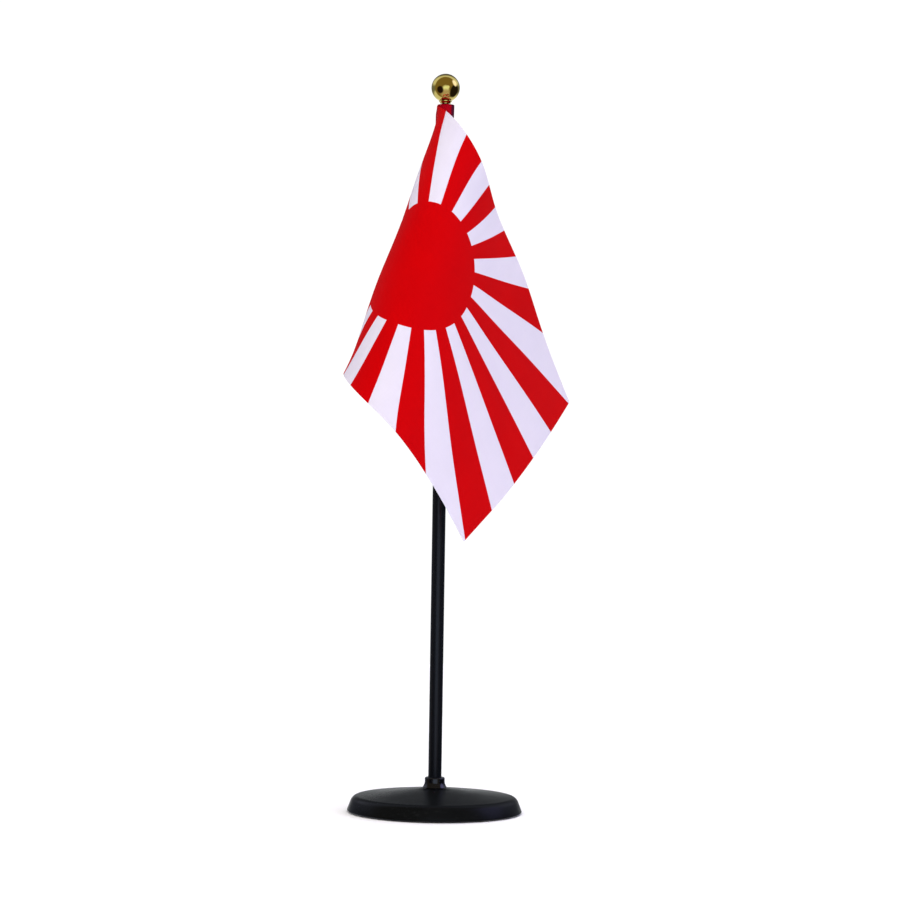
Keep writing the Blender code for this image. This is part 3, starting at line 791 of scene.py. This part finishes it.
settled = hung.copy()
slant = math.hypot(across_step, down_step)
for turn in range(SETTLING):
    settled += (hung - settled) * (0.04 if turn < SETTLING // 2 else 0.004)
    for odd in (0, 1):
        ease(settled[:, odd:-1:2], settled[:, odd + 1 :: 2], across_step, 1.0)
        ease(settled[odd:-1:2], settled[odd + 1 :: 2], down_step, 1.0)
        ease(settled[odd:-1:2, :-1], settled[odd + 1 :: 2, 1:], slant, 0.5)
        ease(settled[odd:-1:2, 1:], settled[odd + 1 :: 2, :-1], slant, 0.5)
    for start in range(4):
        ease(settled[:, start:-2:4], settled[:, start + 2 :: 4], 2 * across_step, 0.5)
        ease(settled[start:-2:4], settled[start + 2 :: 4], 2 * down_step, 0.5)
    reach = np.hypot(settled[..., 0], settled[..., 1])
    clear = np.where(settled[..., 2] > SLEEVE_TOP - FLAG_HEIGHT - 0.001, 0.0054, 0.0046)
    settled[..., :2] *= np.maximum(1.0, clear / np.maximum(reach, 1e-6))[..., None]
    settled[:, 0] = hung[:, 0]

# Its small stiffness takes out any ripple narrower than a few millimetres.
moved = settled - hung
for turn in range(14):
    moved[:, 1:-1] += 0.25 * (moved[:, 2:] - 2.0 * moved[:, 1:-1] + moved[:, :-2])
    moved[1:-1] += 0.25 * (moved[2:] - 2.0 * moved[1:-1] + moved[:-2])
settled = hung + moved

let_go()
bpy.ops.mesh.primitive_grid_add(
    x_subdivisions=COLUMNS, y_subdivisions=ROWS, size=1.0, calc_uvs=True
)
cloth = bpy.context.object
cloth.name = "flag_fabric"
cloth.data.name = "flag_fabric"
cut = np.array([point.co for point in cloth.data.vertices])
columns = np.rint((cut[:, 0] + 0.5) * COLUMNS).astype(int)
rows = np.rint((0.5 - cut[:, 1]) * ROWS).astype(int)
layout = cloth.data.uv_layers[0]
layout.name = "cut"
for loop in cloth.data.loops:
    column, row = columns[loop.vertex_index], rows[loop.vertex_index]
    layout.data[loop.index].uv = (from_hoist[column] / FLAG_FLY, 1.0 - from_top[row] / FLAG_HEIGHT)
places = settled[rows, columns]
cloth.data.vertices.foreach_set("co", places.ravel())
cloth.data.update()

DISC_ACROSS = 0.09333
DISC_DOWN = 0.080
DISC_RADIUS = 0.040
RAYS = 16


def dyed(finish, shader, place, white, white_shade, red, red_shade):
    """The red disc with rays to the edges. The dye creeps a hair along the threads at each edge."""
    from_disc = finish.node_tree.nodes.new("ShaderNodeMapping")
    from_disc.inputs["Location"].default_value = (-DISC_ACROSS, DISC_DOWN - FLAG_HEIGHT, 0.0)
    finish.node_tree.links.new(place, from_disc.inputs["Vector"])
    axes = finish.node_tree.nodes.new("ShaderNodeSeparateXYZ")
    finish.node_tree.links.new(from_disc.outputs["Vector"], axes.inputs[0])
    length = finish.node_tree.nodes.new("ShaderNodeVectorMath")
    length.operation = "LENGTH"
    finish.node_tree.links.new(from_disc.outputs["Vector"], length.inputs[0])
    turn = worked(finish, "ARCTAN2", axes.outputs["Y"], axes.outputs["X"])
    wave = worked(finish, "COSINE", worked(finish, "MULTIPLY", turn, float(RAYS)))
    ray_width = worked(finish, "DIVIDE", length.outputs["Value"], float(RAYS))
    inside_ray = worked(finish, "MULTIPLY", wave, ray_width)
    inside_disc = worked(finish, "SUBTRACT", DISC_RADIUS, length.outputs["Value"])
    inside = worked(finish, "MAXIMUM", inside_ray, inside_disc)
    creep = worked(finish, "MULTIPLY", mottle(finish, place, 2600.0, 1.0), 0.00024)
    amount = ranged(finish, worked(finish, "ADD", inside, creep), 0.00002, 0.00022, 0.0, 1.0)
    slubs = weave(finish, shader, place, 0.00030, 0.00003)
    cloudy = mottle(finish, place, 38.0, 3.0)
    threads = worked(finish, "MULTIPLY", slubs, 0.6)
    uneven = worked(finish, "ADD", threads, worked(finish, "MULTIPLY", cloudy, 0.4))
    spread = ranged(finish, uneven, 0.36, 0.64, 0.0, 1.0)
    pale = blend_colours(finish, spread, white_shade, white)
    deep = blend_colours(finish, spread, red_shade, red)
    colour(finish, shader, blend_colours(finish, amount, pale, deep))


def flag_finish(name, roughness, white, white_shade, red, red_shade):
    finish, shader, place = woven(name, (FLAG_FLY, FLAG_HEIGHT, 1.0), roughness)
    dyed(finish, shader, place, white, white_shade, red, red_shade)
    return finish


printed = flag_finish(
    "flag_face",
    0.62,
    (0.760, 0.712, 0.815),
    (0.720, 0.676, 0.790),
    (0.580, 0.0, 0.0012),
    (0.520, 0.0, 0.0016),
)
reverse = flag_finish(
    "flag_reverse",
    0.70,
    (0.755, 0.720, 0.865),
    (0.715, 0.685, 0.840),
    (0.510, 0.0006, 0.0040),
    (0.460, 0.0005, 0.0040),
)
sealed = flag_finish(
    "flag_cut_edge",
    0.40,
    (0.74, 0.74, 0.84),
    (0.66, 0.66, 0.76),
    (0.45, 0.0030, 0.0090),
    (0.38, 0.0025, 0.0080),
)
cloth.data.materials.clear()
for finish in (printed, reverse, sealed):
    cloth.data.materials.append(finish)
take_up(cloth)
give_wall(cloth, 0.00024, 0.0, "PRESERVE_CORNERS", 1, 2)
bpy.ops.object.shade_smooth_by_angle(angle=math.radians(40.0))
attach(cloth, "flag")
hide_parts("flag_cloth")

# ---------------------------------------------------------------------------------------------
# Seam: a row of lockstitches in dark red thread that holds the sleeve's lip to the flag. They lie on
# both faces of the cloth, and each one is a short flat bar with rounded ends.
STITCHES = 62
THREAD_RADIUS = 0.00021
OFF_CLOTH = 0.00022

let_go()
bpy.ops.mesh.primitive_uv_sphere_add(segments=10, ring_count=8, radius=THREAD_RADIUS)
stitch = bpy.context.object
bpy.ops.object.mode_set(mode="EDIT")
bpy.ops.mesh.select_all(action="SELECT")
bpy.ops.transform.resize(value=(1.0, 0.75, 4.4))
bpy.ops.object.mode_set(mode="OBJECT")
one_stitch = np.array([point.co for point in stitch.data.vertices])
stitch_faces = [tuple(face.vertices) for face in stitch.data.polygons]
bpy.data.objects.remove(stitch, do_unlink=True)
seam_side = settled[:, 0] * 0.2 + settled[:, 1] * 0.8
stitch_points = []
stitch_loops = []
for step in np.linspace(0.9, ROWS - 0.9, STITCHES):
    number = int(step)
    part = step - number
    middle = seam_side[number] * (1 - part) + seam_side[number + 1] * part
    down = seam_side[number + 1] - seam_side[number]
    down = down / np.linalg.norm(down)
    outward = settled[number, 2] - settled[number, 0]
    facing = np.cross(outward, down)
    facing = facing / np.linalg.norm(facing)
    aside = np.cross(down, facing)
    for side in (1.0, -1.0):
        start = len(stitch_points)
        for x, y, z in one_stitch:
            stitch_points.append(middle + aside * x + facing * (y + side * OFF_CLOTH) + down * z)
        stitch_loops += [tuple(start + corner for corner in face) for face in stitch_faces]
seam_mesh = bpy.data.meshes.new("seam_stitches")
seam_mesh.from_pydata([tuple(point) for point in stitch_points], [], stitch_loops)
seam = bpy.data.objects.new("seam_stitches", seam_mesh)
scene.collection.objects.link(seam)
thread, shader, place = new_finish("seam_thread", (0.30, 0.008, 0.03), 0.6)
twist = mottle(thread, stretched(thread, place, (3000.0, 3000.0, 6000.0), (0.7, 0.0, 0.7)), 1.0, 1.0)
colour(thread, shader, blend_colours(thread, twist, (0.20, 0.005, 0.020), (0.36, 0.012, 0.040)))
relief(thread, shader, twist, 0.00003)
polish(seam, thread)
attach(seam, "flag")

# ---------------------------------------------------------------------------------------------
# Finial: a gold plated ball on a waisted neck, both turned from brass, polished and plated. A
# threaded stud holds them together and screws down into the insert in the pole's top.
gold, shader, place = new_finish("gold_plate", (0.93, 0.75, 0.15), 0.06, 1.0)
film = mottle(gold, place, 210.0, 4.0)
colour(gold, shader, blend_colours(gold, film, (0.89, 0.69, 0.14), (0.96, 0.79, 0.22)))
hairlines = mottle(gold, stretched(gold, place, (700.0, 700.0, 9000.0), (0.3, 0.2, 0.0)), 1.0, 4.0)
gloss(gold, shader, ranged(gold, hairlines, 0.35, 0.75, 0.035, 0.11))
relief(gold, shader, mottle(gold, place, 480.0, 1.0), 0.000012)

NECK_BOTTOM = 0.4234
NECK_HEIGHT = 0.0017
NECK_BORE = 0.0023
NECK_WAIST = 0.0031
NECK_TOP_RADIUS = 0.0039
NECK_STEPS = 8
BALL_FLAT = 0.4254
neck_profile = [(NECK_BORE, NECK_BOTTOM), (NECK_WAIST, NECK_BOTTOM)]
for step in range(NECK_STEPS + 1):
    share = step / NECK_STEPS
    radius = NECK_WAIST + (NECK_TOP_RADIUS - NECK_WAIST) * share**1.4
    neck_profile.append((radius, NECK_BOTTOM + 0.0002 + 0.0011 * share))
neck_profile.append((NECK_TOP_RADIUS, NECK_BOTTOM + NECK_HEIGHT))
neck_profile.append((NECK_BORE, NECK_BOTTOM + NECK_HEIGHT))
neck = turned_piece("finial_collar", neck_profile, SLIM_SIDES)
polish(neck, gold)
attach(neck, "ferrule")
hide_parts("finial_neck")

BALL_RADIUS = 0.0085
BALL_CENTRE = 0.43279
BALL_LAND = 0.0018
BALL_BORE_DEPTH = 0.0048
THREAD_PITCH = 0.0007
let_go()
bpy.ops.mesh.primitive_uv_sphere_add(
    segments=128, ring_count=96, radius=BALL_RADIUS, location=(0, 0, BALL_CENTRE)
)
ball = bpy.context.object
ball.name = "finial_sphere"
ball.data.name = "finial_sphere"
bpy.ops.object.transform_apply(location=True, rotation=True, scale=True)
bpy.ops.object.mode_set(mode="EDIT")
bpy.ops.mesh.select_all(action="SELECT")
bpy.ops.mesh.bisect(
    plane_co=(0.0, 0.0, BALL_FLAT),
    plane_no=(0.0, 0.0, 1.0),
    clear_inner=True,
    use_fill=True,
    threshold=0.000001,
)
bpy.ops.object.mode_set(mode="OBJECT")
work_on(ball)
for face in ball.data.polygons:
    face.select = face.normal.z < -0.99
bpy.ops.object.mode_set(mode="EDIT")
bpy.ops.mesh.select_mode(type="FACE")
bpy.ops.mesh.inset(thickness=BALL_LAND)
bpy.ops.mesh.extrude_region_move(TRANSFORM_OT_translate={"value": (0.0, 0.0, BALL_BORE_DEPTH)})
bpy.ops.object.mode_set(mode="OBJECT")
flat_radius = math.sqrt(BALL_RADIUS**2 - (BALL_CENTRE - BALL_FLAT) ** 2)
round_rings(ball, [(flat_radius, BALL_FLAT)], 0.00025)
polish(ball, gold)
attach(ball, "finial")
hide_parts("finial_ball")

threaded, shader, place = new_finish("zinc_thread", (0.62, 0.62, 0.60), 0.28, 1.0)
passivation = mottle(threaded, place, 420.0, 3.0)
colour(threaded, shader, blend_colours(threaded, passivation, (0.42, 0.43, 0.42), (0.66, 0.64, 0.58)))
axes = threaded.node_tree.nodes.new("ShaderNodeSeparateXYZ")
threaded.node_tree.links.new(place, axes.inputs[0])
round_axis = worked(threaded, "ARCTAN2", axes.outputs["Y"], axes.outputs["X"])
rise = worked(threaded, "MULTIPLY", axes.outputs["Z"], 2.0 * math.pi / THREAD_PITCH)
ridge = worked(threaded, "SINE", worked(threaded, "SUBTRACT", rise, round_axis))
gloss(threaded, shader, ranged(threaded, passivation, 0.3, 0.7, 0.20, 0.36))
relief(threaded, shader, ridge, 0.00016)
dress("finial_stud", threaded)
